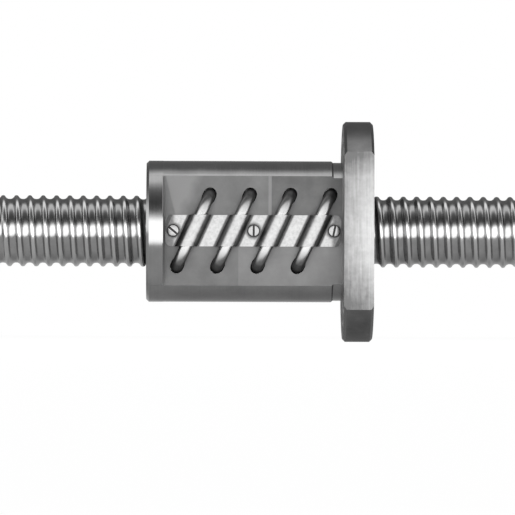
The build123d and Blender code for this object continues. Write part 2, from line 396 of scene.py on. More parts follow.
clamp = {
    "thickness": 0.9,
    "clearance": 0.15,
    "lean": 15.0,
    "cornerRadius": 2.5,
    "softness": 0.35,
    "crownPower": 2.8,
    "screwCount": 3,
    "rows": 29,
    "stepsPerSaddle": 90,
    "slopeStep": 0.01,
}
# painted shade on the clamp: how dark, and where
clampShade = {
    "sides": 0.85,
    "sideRise": (0.66, 0.9),  # as shares of the saddle's half width
    "sideFade": (0.9, 1.7),  # beyond the saddle
    "ends": 0.6,
    "endReach": (3.0, 5.0),
    "dimmed": 0.5,
    "dimReach": (1.1, 2.2),
    "screws": 0.7,
    "screwRadii": (2.9, 4.4),
    "sheetHeight": 3.0,
    "dimHeight": 2.0,
}
saddleReach = tube["radius"] + clamp["clearance"] + clamp["thickness"]
saddleSpacing = tube["pitch"] * math.cos(tubeSlant)


def softMin(a, b, k):
    # the smaller of the two, with their corner blended over k
    blend = np.clip(0.5 + 0.5 * (b - a) / k, 0, 1)
    return b + (a - b) * blend - k * blend * (1 - blend)


def clampOutside(u, centres):
    # height of the strip's outside over the milled flat: on each tube a saddle whose crown is a superellipse
    # and whose sides lean, with plain sheet between, and all three blended where they meet
    c = clamp
    lean = math.radians(c["lean"])
    rise = tube["height"] - nut["seatHeight"]
    away = np.abs(u[..., None] - centres).min(axis=-1)
    side = (saddleReach - away * math.cos(lean)) / math.sin(lean) + rise
    share = np.clip(away / saddleReach, 0, 1)
    crown = rise + saddleReach * (1 - share ** c["crownPower"]) ** (1 / c["crownPower"])
    saddle = softMin(side, crown, c["softness"] * 2)
    return -softMin(-saddle, np.full_like(side, -c["thickness"]), c["softness"])


def makeClamp():
    # two sheets of the strip, one its thickness under the other along the slope, closed round all four edges
    c = clamp
    low, high = nodeBox("tube_clamp")
    centres = (np.arange(tube["count"]) - (tube["count"] - 1) / 2) * saddleSpacing
    # rows crowd towards the long edges, where the corners turn
    z = (low[2] + high[2]) / 2 + (high[2] - low[2]) / 2 * np.sin(np.pi / 2 * np.linspace(-1, 1, c["rows"]))
    fromCorner = np.maximum(c["cornerRadius"] - np.minimum(z - low[2], high[2] - z), 0)
    inset = c["cornerRadius"] - np.sqrt(c["cornerRadius"] ** 2 - fromCorner**2)
    reach = (high[0] - low[0]) / 2 + (high[2] - low[2])
    steps = int(2 * reach / tube["pitch"] * c["stepsPerSaddle"])
    lowU, highU = (
        ((end - tubesMiddle) * math.cos(tubeSlant) - z * math.sin(tubeSlant))[:, None]
        for end in (low[0] + inset, high[0] - inset)
    )
    u = np.clip(np.linspace(-reach, reach, steps)[None, :], lowU, highU)
    height = clampOutside(u, centres)
    step = c["slopeStep"]
    slope = (clampOutside(u + step, centres) - clampOutside(u - step, centres)) / (2 * step)
    length = np.sqrt(1 + slope**2)

    def place(acrossU, above):
        x = tubesMiddle + (acrossU + z[:, None] * math.sin(tubeSlant)) / math.cos(tubeSlant)
        return np.stack([x, -(nut["seatHeight"] + above), np.broadcast_to(z[:, None], x.shape)], axis=-1)

    outside = place(u, height)
    inside = place(u + c["thickness"] * slope / length, height - c["thickness"] / length)
    rows, columns = u.shape
    loop = np.concatenate([outside, inside[:, ::-1]], axis=1)
    faces = [gridFaces(rows, 2 * columns, closeColumns=True)]
    column = np.arange(columns - 1)
    for base in (0, (rows - 1) * 2 * columns):
        edge = [column, column + 1, 2 * columns - 2 - column, 2 * columns - 1 - column]
        faces.append(base + np.stack(edge, axis=-1))
    return newPiece("tubeClamp", loop.reshape(-1, 3), np.concatenate(faces))


def paintedShadeOnClamp(points):
    # painted shade on the leaning sides of the saddles, at the strip's two ends and round the screws, and a
    # painted darker band along the middle of the sheet between two saddles
    d = clampShade
    x, y, z = points.T
    u = (x - tubesMiddle) * math.cos(tubeSlant) - z * math.sin(tubeSlant)
    half = saddleSpacing / 2
    away = np.abs((u + (tube["count"] % 2 + 1) * half) % saddleSpacing - half)
    low, high = d["sideRise"]
    sides = smoothRise(away, low * saddleReach, high * saddleReach)
    sides = d["sides"] * sides * (1 - smoothRise(away - saddleReach, *d["sideFade"]))
    fromEnd = np.minimum(x - x.min(), x.max() - x)
    ends = d["ends"] * (1 - smoothRise(fromEnd, *d["endReach"]))
    between = d["dimmed"] * (1 - smoothRise(half - away, *d["dimReach"]))
    screwBoxes = [nodeBox(f"clamp_screw_{index + 1}") for index in range(clamp["screwCount"])]
    middles = [np.mean(box, axis=0)[0] for box in screwBoxes]
    fromScrew = np.min([np.hypot(x - middle, z) for middle in middles], axis=0)
    screws = d["screws"] * (1 - smoothRise(fromScrew, *d["screwRadii"]))
    up = -y - nut["seatHeight"]
    onSheet, onFlat = up < d["sheetHeight"], up < d["dimHeight"]
    return np.max([sides, ends * onSheet, between * onFlat, screws * onSheet], axis=0)


clampPiece = makeClamp()
markPaintedShade(clampPiece, paintedShadeOnClamp)
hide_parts("tube_clamp")
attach(clampPiece, "nut")
print("clamp made")


# Clamp screws: cheese heads with a slot, turned about the -Y direction

clampScrew = {
    "headRadius": 2.8,
    "headHeight": 1.9,
    "rim": 0.45,
    "rimBreak": 0.135,
    "slotWidth": 1.0,
    "slotDepth": 0.9,
    "slotAngles": (140.0, 90.0, 78.0),
    "shankRadius": 1.5,
    "tip": 0.3,
    "segments": 40,
    "sharpAngle": 35.0,
    # painted shade on the rim, as a share of the slot's
    "rimShade": 0.95,
    "rimSkin": 0.02,
    "skin": 0.05,  # how near to a surface a face counts as on it when the painted shade is marked
}


def slotCutter(middle, top, angle):
    # a box along the slot, longer than the head and standing over its top
    s = clampScrew
    along = np.array([math.cos(angle), math.sin(angle)])
    across = np.array([-math.sin(angle), math.cos(angle)])
    corners = []
    for depth in (top - s["slotDepth"], top + s["slotWidth"]):
        for a, b in ((-1, -1), (1, -1), (1, 1), (-1, 1)):
            spot = along * a * 2 * s["headRadius"] + across * b * s["slotWidth"] / 2
            corners.append((middle[0] + spot[0], -depth, middle[2] + spot[1]))
    box = [(0, 1, 2, 3), (4, 5, 6, 7), (0, 1, 5, 4), (1, 2, 6, 5), (2, 3, 7, 6), (3, 0, 4, 7)]
    return newPiece("slotCutter", corners, box)


def makeClampScrew(index):
    # turned profile of shank and head, then the slot cut across the head
    s = clampScrew
    low, high = nodeBox(f"clamp_screw_{index + 1}")
    middle = (low + high) / 2
    top, under, end = -low[1], -low[1] - s["headHeight"], -high[1]
    profile = [
        (end, 0.0),
        (end, s["shankRadius"] - s["tip"]),
        (end + s["tip"], s["shankRadius"]),
        (under, s["shankRadius"]),
        (under, s["headRadius"]),
        (top - s["rim"], s["headRadius"]),
        (top - s["rimBreak"], s["headRadius"] - s["rimBreak"]),
        (top, s["headRadius"] - s["rim"]),
        (top, 0.0),
    ]
    points, faces = turned(profile, s["segments"])
    points = np.stack([middle[0] + points[:, 1], -points[:, 0], middle[2] + points[:, 2]], axis=-1)
    head = newPiece(f"clampScrew{index + 1}", points, faces)
    cutter = slotCutter(middle, top, math.radians(s["slotAngles"][index]))
    cut = head.modifiers.new("slot", "BOOLEAN")
    cut.object = cutter
    cut.operation = "DIFFERENCE"
    cut.solver = "EXACT"
    bpy.context.view_layer.update()
    slotted = bpy.data.meshes.new_from_object(head.evaluated_get(bpy.context.evaluated_depsgraph_get()))
    head.modifiers.clear()
    head.data = slotted
    smoothUpTo(slotted, s["sharpAngle"])
    bpy.data.objects.remove(cutter)
    # painted shade in the slot and, less, on the rim
    centres = np.zeros(3 * len(slotted.polygons))
    slotted.polygons.foreach_get("center", centres)
    centres = centres.reshape(-1, 3) / mm
    skin = s["skin"]
    depth = centres[:, 1] + top
    radius = np.hypot(centres[:, 0] - middle[0], centres[:, 2] - middle[2])
    inSlot = (depth > skin) & (depth < s["slotDepth"] + skin) & (radius < s["headRadius"] - s["rim"] - skin)
    onRim = (depth > s["rimSkin"]) & (depth < s["headHeight"] - skin) & ~inSlot
    paintedShade = slotted.attributes.new("paintedShade", "FLOAT", "FACE")
    paintedShade.data.foreach_set("value", np.where(inSlot, 1.0, np.where(onRim, s["rimShade"], 0.0)))
    return head


clampScrewPieces = [makeClampScrew(index) for index in range(clamp["screwCount"])]
for index, piece in enumerate(clampScrewPieces):
    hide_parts(f"clamp_screw_{index + 1}")
    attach(piece, "nut")
print("clamp screws made")


# Wipers: moulded rings with a lip towards the screw

wiper = {
    "clearance": 0.15,
    "lip": 0.9,
    "lipFlat": 0.36,
    "lipBack": 0.36,
    "recess": 0.5,
    "recessEdge": 0.2,
    "rimWidth": 0.8,
    "edge": 0.4,
    "edgeRise": 0.2,
    "segments": 96,
}


def makeWiper(nodeName, name, outwards):
    # profile turned round the screw: a lip that opens outwards, a shallow recess and a rim
    w = wiper
    low, high = nodeBox(nodeName)
    inside, outside = screw["crestRadius"] + w["clearance"], high[2]
    face, back = (high[0], low[0]) if outwards > 0 else (low[0], high[0])
    profile = [
        (back, inside),
        (face - outwards * w["lip"], inside),
        (face, inside + w["lip"]),
        (face, inside + w["lip"] + w["lipFlat"]),
        (face - outwards * w["recess"], inside + w["lip"] + w["lipFlat"] + w["lipBack"]),
        (face - outwards * w["recess"], outside - w["rimWidth"] - w["recessEdge"]),
        (face, outside - w["rimWidth"]),
        (face, outside - w["edgeRise"]),
        (face - outwards * w["edge"], outside),
        (back, outside),
        (back, inside),
    ]
    return newPiece(name, *turned(profile, w["segments"]), sharpAngle=30)


wiperPieces = [makeWiper("wiper_front", "wiperFront", 1), makeWiper("wiper_rear", "wiperRear", -1)]
for piece, node in zip(wiperPieces, ("wiper_front", "wiper_rear")):
    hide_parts(node)
    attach(piece, "nut")
print("wipers made")


# Retaining ring: the solid's own shape with broken edges

ring = {"edgeBreak": 0.12, "edgeAngle": 30.0}

ringPiece = brokenEdges("retaining_ring", "retainingRing", ring["edgeBreak"], ring["edgeAngle"])
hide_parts("retaining_ring")
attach(ringPiece, "ring")
print("ring made")


# Balls: each circuit is filled along the screw's track and through its tube

balls = {"radius": 1.984, "gap": 0.02, "turns": 2.5, "columns": 8, "rings": 5, "helixPoints": 2000}


def makeBalls(index):
    # ball centres at equal steps along a helix of the circuit's turns, then along the tube's path back to its
    # start; each ball is a sphere by polar angle and angle round the X axis
    b = balls
    middleX = tube["firstMiddle"] - tube["pitch"] * index
    turn = np.linspace(-b["turns"] / 2, b["turns"] / 2, b["helixPoints"]) * 2 * np.pi
    helix = np.stack([
        middleX + screw["pitch"] * turn / (2 * np.pi),
        -screw["ballCircleRadius"] * np.sin(turn + np.pi / 2),
        screw["ballCircleRadius"] * np.cos(turn + np.pi / 2),
    ], axis=-1)
    u, v = tubePath()[:2]
    back = np.stack([middleX + u * math.sin(tubeSlant), -v, u * math.cos(tubeSlant)], axis=-1)[::-1]
    route = np.concatenate([helix if helix[-1, 2] > 0 else helix[::-1], back])
    step = np.linalg.norm(np.diff(route, axis=0), axis=1)
    run = np.concatenate([[0], np.cumsum(step)])
    count = int(run[-1] // (2 * b["radius"] + b["gap"]))
    at = (np.arange(count) + 0.5) * run[-1] / count
    centres = np.stack([np.interp(at, run, route[:, axis]) for axis in range(3)], axis=-1)
    polar = np.linspace(0, np.pi, b["rings"] + 1)[:, None]
    around = 2 * np.pi * np.arange(b["columns"]) / b["columns"]
    ball = np.stack([
        np.cos(polar) * np.ones(b["columns"]),
        np.sin(polar) * np.cos(around),
        np.sin(polar) * np.sin(around),
    ], axis=-1).reshape(-1, 3) * b["radius"]
    faces = gridFaces(b["rings"] + 1, b["columns"], closeColumns=True)
    points = (centres[:, None] + ball[None]).reshape(-1, 3)
    allFaces = (faces[None] + np.arange(count)[:, None, None] * len(ball)).reshape(-1, 4)
    return newPiece(f"ballCircuit{index + 1}", points, allFaces, sharpAngle=180)


ballPieces = [makeBalls(index) for index in range(tube["count"])]
for piece in ballPieces:
    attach(piece, "nut")
print("balls made")


# Shader nodes

def setInputs(node, values):
    # values by the names of the inputs, with _ for a space
    for key, value in values.items():
        node.inputs[key.replace("_", " ")].default_value = value
    return node


def addNode(tree, kind, **values):
    return setInputs(tree.nodes.new(kind), values)


def useGroup(tree, group, **values):
    node = tree.nodes.new("ShaderNodeGroup")
    node.node_tree = group
    return setInputs(node, values)


def link(tree, values, sockets):
    # each value, a socket or a constant, into its socket
    for value, socket in zip(values, sockets):
        if isinstance(value, bpy.types.NodeSocket):
            tree.links.new(value, socket)
        else:
            socket.default_value = value


def mathNode(tree, operation, *values, held=False):
    # held keeps the result between 0 and 1
    node = tree.nodes.new("ShaderNodeMath")
    node.operation = operation
    node.use_clamp = held
    link(tree, values, node.inputs)
    return node.outputs[0]


def times(tree, a, b):
    return mathNode(tree, "MULTIPLY", a, b)


def valueMix(tree, factor, a, b):
    # a where the factor is 0, b where it is 1
    return mathNode(tree, "ADD", times(tree, mathNode(tree, "SUBTRACT", b, a), factor), a)


def grey(value):
    return (value, value, value, 1.0)


def mixColor(tree, factor, a, b):
    node = tree.nodes.new("ShaderNodeMix")
    node.data_type = "RGBA"
    link(tree, (factor, a, b), (node.inputs["Factor"], node.inputs[6], node.inputs[7]))
    return node.outputs[2]


def objectPlace(tree):
    # x, y and z of the point in metres, in the object's own coordinates
    split = tree.nodes.new("ShaderNodeSeparateXYZ")
    tree.links.new(tree.nodes.new("ShaderNodeTexCoord").outputs["Object"], split.inputs[0])
    return tuple(split.outputs)


# Node groups that the materials share

def newGroup(name, inputs, outputs):
    # a group with numbers in and out, the inputs with their first values, and the sockets inside it
    group = bpy.data.node_groups.new(name, "ShaderNodeTree")
    for socketName, value in inputs.items():
        socket = group.interface.new_socket(socketName, in_out="INPUT", socket_type="NodeSocketFloat")
        socket.default_value = value
    for socketName in outputs:
        group.interface.new_socket(socketName, in_out="OUTPUT", socket_type="NodeSocketFloat")
    return group, group.nodes.new("NodeGroupInput").outputs, group.nodes.new("NodeGroupOutput").inputs


def makeTurningGroup():
    # fine rings round the X axis, as a turning tool or a grinding wheel leaves: noise that changes fast
    # along the axis and slowly round it
    group, given, result = newGroup("turningMarks", {"Rings per mm": 3.0, "Streak": 0.04}, ("Height", "Mask"))
    stretched = group.nodes.new("ShaderNodeCombineXYZ")
    rates = (given["Rings per mm"], given["Streak"], given["Streak"])
    places = [times(group, *pair) for pair in zip(objectPlace(group), rates)]
    link(group, [times(group, place, 1 / mm) for place in places], stretched.inputs)
    noise = addNode(group, "ShaderNodeTexNoise", Scale=1.0, Detail=3.0, Roughness=0.6)
    group.links.new(stretched.outputs[0], noise.inputs["Vector"])
    mask = addNode(group, "ShaderNodeMapRange", From_Min=0.35, From_Max=0.65)
    group.links.new(noise.outputs["Fac"], mask.inputs["Value"])
    link(group, (noise.outputs["Fac"], mask.outputs[0]), (result["Height"], result["Mask"]))
    return group


def makeCloudGroup():
    # slow cloudy change over the surface, for the sheen of oil and the handling of a steel part: noise less
    # its middle value, times twice the contrast
    group, given, result = newGroup("steelClouds", {"Size mm": 12.0, "Contrast": 1.0}, ("Mask",))
    place = group.nodes.new("ShaderNodeTexCoord")
    noise = addNode(group, "ShaderNodeTexNoise", Detail=5.0, Roughness=0.6)
    scale = mathNode(group, "DIVIDE", 1 / mm, given["Size mm"])
    link(group, (place.outputs["Object"], scale), (noise.inputs["Vector"], noise.inputs["Scale"]))
    centred = mathNode(group, "SUBTRACT", noise.outputs["Fac"], 0.5)
    spread = times(group, times(group, centred, given["Contrast"]), 2.0)
    group.links.new(mathNode(group, "ADD", spread, 0.5, held=True), result["Mask"])
    return group


def makeEdgeGroup():
    # where the surface turns within the radius, its rounded normal leaves the true one: worn, bright edges
    group, given, result = newGroup("edgeWear", {"Radius mm": 0.4, "Strength": 4.0}, ("Mask",))
    bevel = group.nodes.new("ShaderNodeBevel")
    bevel.samples = 4
    group.links.new(times(group, given["Radius mm"], mm), bevel.inputs["Radius"])
    geometry = group.nodes.new("ShaderNodeNewGeometry")
    dot = group.nodes.new("ShaderNodeVectorMath")
    dot.operation = "DOT_PRODUCT"
    link(group, (bevel.outputs[0], geometry.outputs["Normal"]), dot.inputs)
    turnAway = mathNode(group, "SUBTRACT", 1.0, dot.outputs["Value"])
    group.links.new(mathNode(group, "MULTIPLY", turnAway, given["Strength"], held=True), result["Mask"])
    return group


turningGroup, cloudGroup, edgeGroup = makeTurningGroup(), makeCloudGroup(), makeEdgeGroup()
print("node groups made")


# Steels: grey, roughness and relief come from turning marks, clouds and worn edges

groundSteel = {
    "dark": 0.28, "light": 0.39, "worn": 0.66, "smooth": 0.13, "rough": 0.21, "cloudShare": 0.6,
    "ringsPerMm": 2.2, "streak": 0.03, "ringTint": 0.3, "relief": 0.25, "reliefMm": 0.012,
    "cloudMm": 14.0, "cloudContrast": 1.0, "edgeMm": 0.35, "edgeStrength": 4.0, "edgeTint": 0.4,
}
trackSteel = dict(groundSteel, dark=0.44, light=0.6, smooth=0.12, rough=0.2, ringsPerMm=5.0, cloudMm=20.0)
tubeSteel = dict(
    groundSteel, dark=0.28, light=0.37, worn=0.55, smooth=0.2, rough=0.3, ringsPerMm=1.2, streak=0.6,
    cloudMm=5.0,
)
clampSteel = dict(
    groundSteel, dark=0.24, light=0.36, worn=0.5, smooth=0.3, rough=0.42, ringsPerMm=2.0, streak=0.8,
    cloudMm=1.6, cloudContrast=1.6,
)
boltSteel = dict(
    groundSteel, dark=0.2, light=0.32, smooth=0.24, rough=0.36, ringsPerMm=2.0, streak=2.0, cloudMm=2.0,
)
springSteel = dict(groundSteel, dark=0.12, light=0.2, worn=0.4, smooth=0.35, rough=0.5, cloudMm=4.0)


def newMaterial(name):
    material = bpy.data.materials.new(name)
    material.use_nodes = True
    return material, material.node_tree


def cloudMask(tree, finish, contrast=1.0):
    return useGroup(tree, cloudGroup, Size_mm=finish["cloudMm"], Contrast=contrast).outputs["Mask"]


def toned(tree, mask, finish):
    # the finish's dark grey where the mask is 0, its light grey where it is 1
    return mixColor(tree, mask, grey(finish["dark"]), grey(finish["light"]))


def steel(name, finish, zones=()):
    # each zone is a function that gives a mask with its own grey and roughness; where it also gives a further
    # word, nothing reflects within the mask
    material, tree = newMaterial(name)
    shader = setInputs(tree.nodes["Principled BSDF"], {"Metallic": 1.0})
    marks = useGroup(tree, turningGroup, Rings_per_mm=finish["ringsPerMm"], Streak=finish["streak"]).outputs
    clouds = cloudMask(tree, finish, finish["cloudContrast"])
    edges = useGroup(tree, edgeGroup, Radius_mm=finish["edgeMm"], Strength=finish["edgeStrength"]).outputs
    color = toned(tree, clouds, finish)
    color = mixColor(tree, times(tree, marks["Mask"], finish["ringTint"]), color, grey(finish["light"]))
    color = mixColor(tree, times(tree, edges["Mask"], finish["edgeTint"]), color, grey(finish["worn"]))
    fromMarks = times(tree, marks["Mask"], 1 - finish["cloudShare"])
    blend = mathNode(tree, "ADD", times(tree, clouds, finish["cloudShare"]), fromMarks)
    rough = valueMix(tree, blend, finish["smooth"], finish["rough"])
    for zone in zones:
        mask, zoneColor, zoneRough, *dimmed = zone(tree)
        color = mixColor(tree, mask, color, zoneColor)
        rough = valueMix(tree, mask, rough, zoneRough)
        if dimmed:
            shining = mathNode(tree, "SUBTRACT", 1.0, mask)
            metallic, specular = shader.inputs["Metallic"], shader.inputs["Specular IOR Level"]
            link(tree, (shining, times(tree, shining, specular.default_value)), (metallic, specular))
    bump = addNode(tree, "ShaderNodeBump", Strength=finish["relief"], Distance=finish["reliefMm"] * mm)
    tree.links.new(marks["Height"], bump.inputs["Height"])
    sockets = [shader.inputs[socketName] for socketName in ("Base Color", "Roughness", "Normal")]
    link(tree, (color, rough, bump.outputs[0]), sockets)
    return material


def nearTo(tree, value, middle, reach):
    # one where the value in metres is within the reach of the middle, both in millimetres
    return mathNode(tree, "COMPARE", value, middle * mm, reach * mm)


def betweenEnds(tree, value, ends):
    low, high = ends
    return nearTo(tree, value, (low + high) / 2, (high - low) / 2)


def squaredRadius(tree):
    # distance from the screw's axis, squared
    return mathNode(tree, "ADD", *(mathNode(tree, "POWER", value, 2.0) for value in objectPlace(tree)[1:]))


trackGroove = {"radii": (15.3, 15.75), "dark": 0.3, "light": 0.42, "rough": 0.17, "cloudMm": 6.0}


def grooveZone(tree):
    # the ball track, darker than the ground crests: one below the lower radius, nothing above the upper one
    f = trackGroove
    low, high = f["radii"]
    under = mathNode(tree, "SUBTRACT", high * mm, mathNode(tree, "SQRT", squaredRadius(tree)))
    fade = mathNode(tree, "DIVIDE", under, (high - low) * mm, held=True)
    mask = times(tree, fade, betweenEnds(tree, objectPlace(tree)[0], (threadStart, threadEnd)))
    return mask, toned(tree, cloudMask(tree, f), f), f["rough"]


seatFace = {"within": 0.25, "dark": 0.24, "light": 0.36, "rough": 0.42, "cloudMm": 5.0}


def seatFaceZone(tree):
    # the turned face that seats on the housing, duller than the barrel: one near its plane
    f = seatFace
    mask = nearTo(tree, objectPlace(tree)[0], 0.0, f["within"])
    return mask, toned(tree, cloudMask(tree, f), f), f["rough"]


flangeRim = {"radius": 48.25, "dark": 0.14, "light": 0.22, "rough": 0.34, "cloudMm": 8.0}


def rimZone(tree):
    # turned rim of the flange: one beyond the radius
    f = flangeRim
    mask = mathNode(tree, "GREATER_THAN", squaredRadius(tree), (f["radius"] * mm) ** 2)
    return mask, toned(tree, cloudMask(tree, f), f), f["rough"]


flangeFlat = {
    "within": 0.02, "dark": 0.13, "light": 0.38, "rough": 0.42, "cloudMm": 2.6, "contrast": 0.3,
    "grainPerMm": 1.1, "grainStreak": 0.05, "grainTone": 0.25, "acrossTone": 0.6,
    "falls": ((-14.0, -33.0, 0.55), (24.0, 34.0, 0.6)),  # start, end and amount of each darker end
}


def flangeZone(tree):
    # ground flat with a mottled sheen and upright grain, lighter across from the seat to the far face and
    # darker towards both ends
    f = flangeFlat
    x, y, z = objectPlace(tree)
    width, half = nodeBox("nut_body")[1][:2]
    mask = nearTo(tree, mathNode(tree, "ABSOLUTE", y), half, f["within"])
    grain = useGroup(tree, turningGroup, Rings_per_mm=f["grainPerMm"], Streak=f["grainStreak"])
    across = mathNode(tree, "SUBTRACT", mathNode(tree, "DIVIDE", x, width * mm), 0.5)
    tone = mathNode(tree, "ADD", times(tree, across, f["acrossTone"]), cloudMask(tree, f, f["contrast"]))
    tone = mathNode(tree, "ADD", tone, times(tree, grain.outputs["Mask"], f["grainTone"]))
    for start, end, amount in f["falls"]:
        beyond = mathNode(tree, "SUBTRACT", z, start * mm)
        beyond = mathNode(tree, "DIVIDE", beyond, (end - start) * mm, held=True)
        tone = mathNode(tree, "SUBTRACT", tone, times(tree, beyond, amount))
    tone = mathNode(tree, "ADD", tone, 0.0, held=True)
    return mask, toned(tree, tone, f), f["rough"]


# the stripe, the patches beyond it and the wedge are painted reflections on the milled flat
milledFlat = {
    "within": 0.02, "dark": 0.1, "light": 0.2, "rough": 0.55, "cloudMm": 9.0, "contrast": 0.5,
    "stripe": (-33.6, -32.2), "stripeTone": 0.5, "beyondTone": 0.25, "lowerPatch": -47.0, "lowerTone": 0.3,
    "wedgeTop": 24.5, "wedgeEnd": 7.4, "wedgeLeft": (-79.9, -75.6), "wedgeRight": (-62.0, -70.0),
    "wedgeBlur": (0.8, 6.0), "wedgeTone": 0.55,
}


def reflectionWedge(tree, x, z):
    # a lighter wedge of painted reflection at the free end: one between two straight edges that near each
    # other downwards, each with its own blur
    f = milledFlat
    down = mathNode(tree, "SUBTRACT", f["wedgeTop"] * mm, z)
    down = mathNode(tree, "DIVIDE", down, (f["wedgeTop"] - f["wedgeEnd"]) * mm)
    left, right = (
        mathNode(tree, "ADD", times(tree, down, (end - start) * mm), start * mm)
        for start, end in (f["wedgeLeft"], f["wedgeRight"])
    )
    fromLeft, fromRight = (
        mathNode(tree, "DIVIDE", mathNode(tree, "SUBTRACT", *pair), blur * mm, held=True)
        for pair, blur in zip(((x, left), (right, x)), f["wedgeBlur"])
    )
    return times(tree, times(tree, fromLeft, fromRight), mathNode(tree, "LESS_THAN", down, 1.0))


def milledZone(tree):
    # rough milled face with painted reflections: patches side by side along the screw, a little lighter or
    # darker
    f = milledFlat
    x, y, z = objectPlace(tree)
    mask = nearTo(tree, y, -nut["seatHeight"], f["within"])
    edges = (*f["stripe"], f["lowerPatch"])
    first, second, lower = (mathNode(tree, "GREATER_THAN", x, edge * mm) for edge in edges)
    stripe = times(tree, mathNode(tree, "SUBTRACT", first, second), f["stripeTone"])
    upper = mathNode(tree, "SUBTRACT", stripe, times(tree, second, f["beyondTone"]))
    upperHalf = mathNode(tree, "GREATER_THAN", z, 0.0)
    reflectionPatches = valueMix(tree, upperHalf, times(tree, lower, f["lowerTone"]), upper)
    reflectionPatches = mathNode(tree, "ADD", reflectionPatches, times(tree, reflectionWedge(tree, x, z), f["wedgeTone"]))
    tone = mathNode(tree, "ADD", cloudMask(tree, f, f["contrast"]), reflectionPatches, held=True)
    return mask, toned(tree, tone, f), f["rough"]


# painted shade on the seat's end walls: where it lies, and its grey and roughness
seatWallShade = {
    "limits": (((-80.95, -79.8), (-31.2, -19.9)), ((-0.55, 0.3), (-34.7, -19.9))),  # along and in depth
    "halfHeight": 24.6, "grey": 0.22, "rough": 0.5,
}


def seatWallShadeZone(tree):
    # painted shade on the two end walls of the milled seat and the corners at their feet, rough and
    # unreflecting:
    # one between a wall's limits along the screw and in depth, and between the seat's long edges
    f = seatWallShade
    x, y, z = objectPlace(tree)
    ends = [
        times(tree, betweenEnds(tree, x, along), betweenEnds(tree, y, deep))
        for along, deep in f["limits"]
    ]
    inside = mathNode(tree, "LESS_THAN", mathNode(tree, "ABSOLUTE", z), f["halfHeight"] * mm)
    mask = times(tree, mathNode(tree, "MAXIMUM", *ends), inside)
    return mask, grey(f["grey"]), f["rough"], "dimmed"


# grey and roughness of the painted shade
paintedShade = {"dark": 0.03, "light": 0.07, "rough": 0.55, "cloudMm": 0.8}


def paintedShadeZone(tree):
    # painted shade, as strong as the piece's own attribute marks
    level = tree.nodes.new("ShaderNodeAttribute")
    level.attribute_name = "paintedShade"
    return level.outputs["Fac"], toned(tree, cloudMask(tree, paintedShade), paintedShade), paintedShade["rough"]


wiperFinish = {"dark": 0.2, "light": 0.28, "smooth": 0.45, "rough": 0.65, "cloudMm": 1.2}


def wiperPlastic():
    # moulded plastic, cloudy in grey and in roughness
    f = wiperFinish
    material, tree = newMaterial("wiperPlastic")
    shader = tree.nodes["Principled BSDF"]
    clouds = cloudMask(tree, f)
    rough = valueMix(tree, clouds, f["smooth"], f["rough"])
    link(tree, (toned(tree, clouds, f), rough), (shader.inputs["Base Color"], shader.inputs["Roughness"]))
    return material


nutZones = (seatFaceZone, rimZone, flangeZone, milledZone, seatWallShadeZone)
finishes = [
    ([screwPiece], steel("trackSteel", trackSteel, (grooveZone,))),
    (ballPieces, steel("ballSteel", trackSteel)),
    ([nutPiece], steel("groundSteel", groundSteel, nutZones)),
    # tubes, clamp and clamp screws take painted shade from their own attribute
    (tubePieces, steel("tubeSteel", tubeSteel, (paintedShadeZone,))),
    ([clampPiece], steel("clampSteel", clampSteel, (paintedShadeZone,))),
    (clampScrewPieces, steel("boltSteel", boltSteel, (paintedShadeZone,))),
    ([ringPiece], steel("springSteel", springSteel)),
    (wiperPieces, wiperPlastic()),
]
for pieces, material in finishes:
    for piece in pieces:
        piece.data.materials.clear()
        piece.data.materials.append(material)
print("materials made")


# Camera where the photograph's was: far off, a little to the left of the nut's middle and below the axis

camera = {
    "place": (-70.0, -2800.0, -46.0),
    "mmPerPixel": 0.45,
    "pixels": 515,
    "originPixel": (342.4, 231.6),
    "roll": 0.2,
    "sensor": 36.0,
    "clip": (0.1, 30.0),  # metres
}


def makeCamera():
    # aimed at the picture's middle, with the lens that gives the scale at that distance
    c = camera
    aim = np.array([
        (c["pixels"] / 2 - c["originPixel"][0]) * c["mmPerPixel"],
        0.0,
        (c["originPixel"][1] - c["pixels"] / 2) * c["mmPerPixel"],
    ])
    way = aim - np.array(c["place"])
    data = bpy.data.cameras.new("camera")
    data.sensor_width = c["sensor"]
    data.lens = c["sensor"] * np.linalg.norm(way) / (c["pixels"] * c["mmPerPixel"])
    data.clip_start, data.clip_end = c["clip"]
    seen = addObject("camera", data)
    seen.location = np.array(c["place"]) * mm
    turn = mathutils.Vector(way).to_track_quat("-Z", "Y").to_matrix().to_4x4()
    roll = mathutils.Matrix.Rotation(math.radians(c["roll"]), 4, "Z")
    seen.rotation_euler = (turn @ roll).to_euler()
    bpy.context.scene.camera = seen


makeCamera()
print("camera made")


# Studio, in metres: white floor and backdrop, a soft lamp above, and lights that only reflections see

world = {"light": 0.45, "seen": 1.0}


def makeWorld():
    # white to the camera, dimmer as light
    made = bpy.data.worlds.new("studio")
    bpy.context.scene.world = made
    made.use_nodes = True
    tree = made.node_tree
    path = tree.nodes.new("ShaderNodeLightPath")
    seen = mathNode(tree, "MAXIMUM", path.outputs["Is Camera Ray"], path.outputs["Is Transmission Ray"])
    background = setInputs(tree.nodes["Background"], {"Color": grey(1.0)})
    tree.links.new(valueMix(tree, seen, world["light"], world["seen"]), background.inputs["Strength"])


ground = {
    "size": 14.0, "below": 0.0002, "grey": 0.8, "rough": 0.9, "seenShare": 0.93, "seenGlow": 1.03,
    "mirroredGrey": 0.54, "mirroredShare": 0.5, "mirroredGlow": 0.5,
}


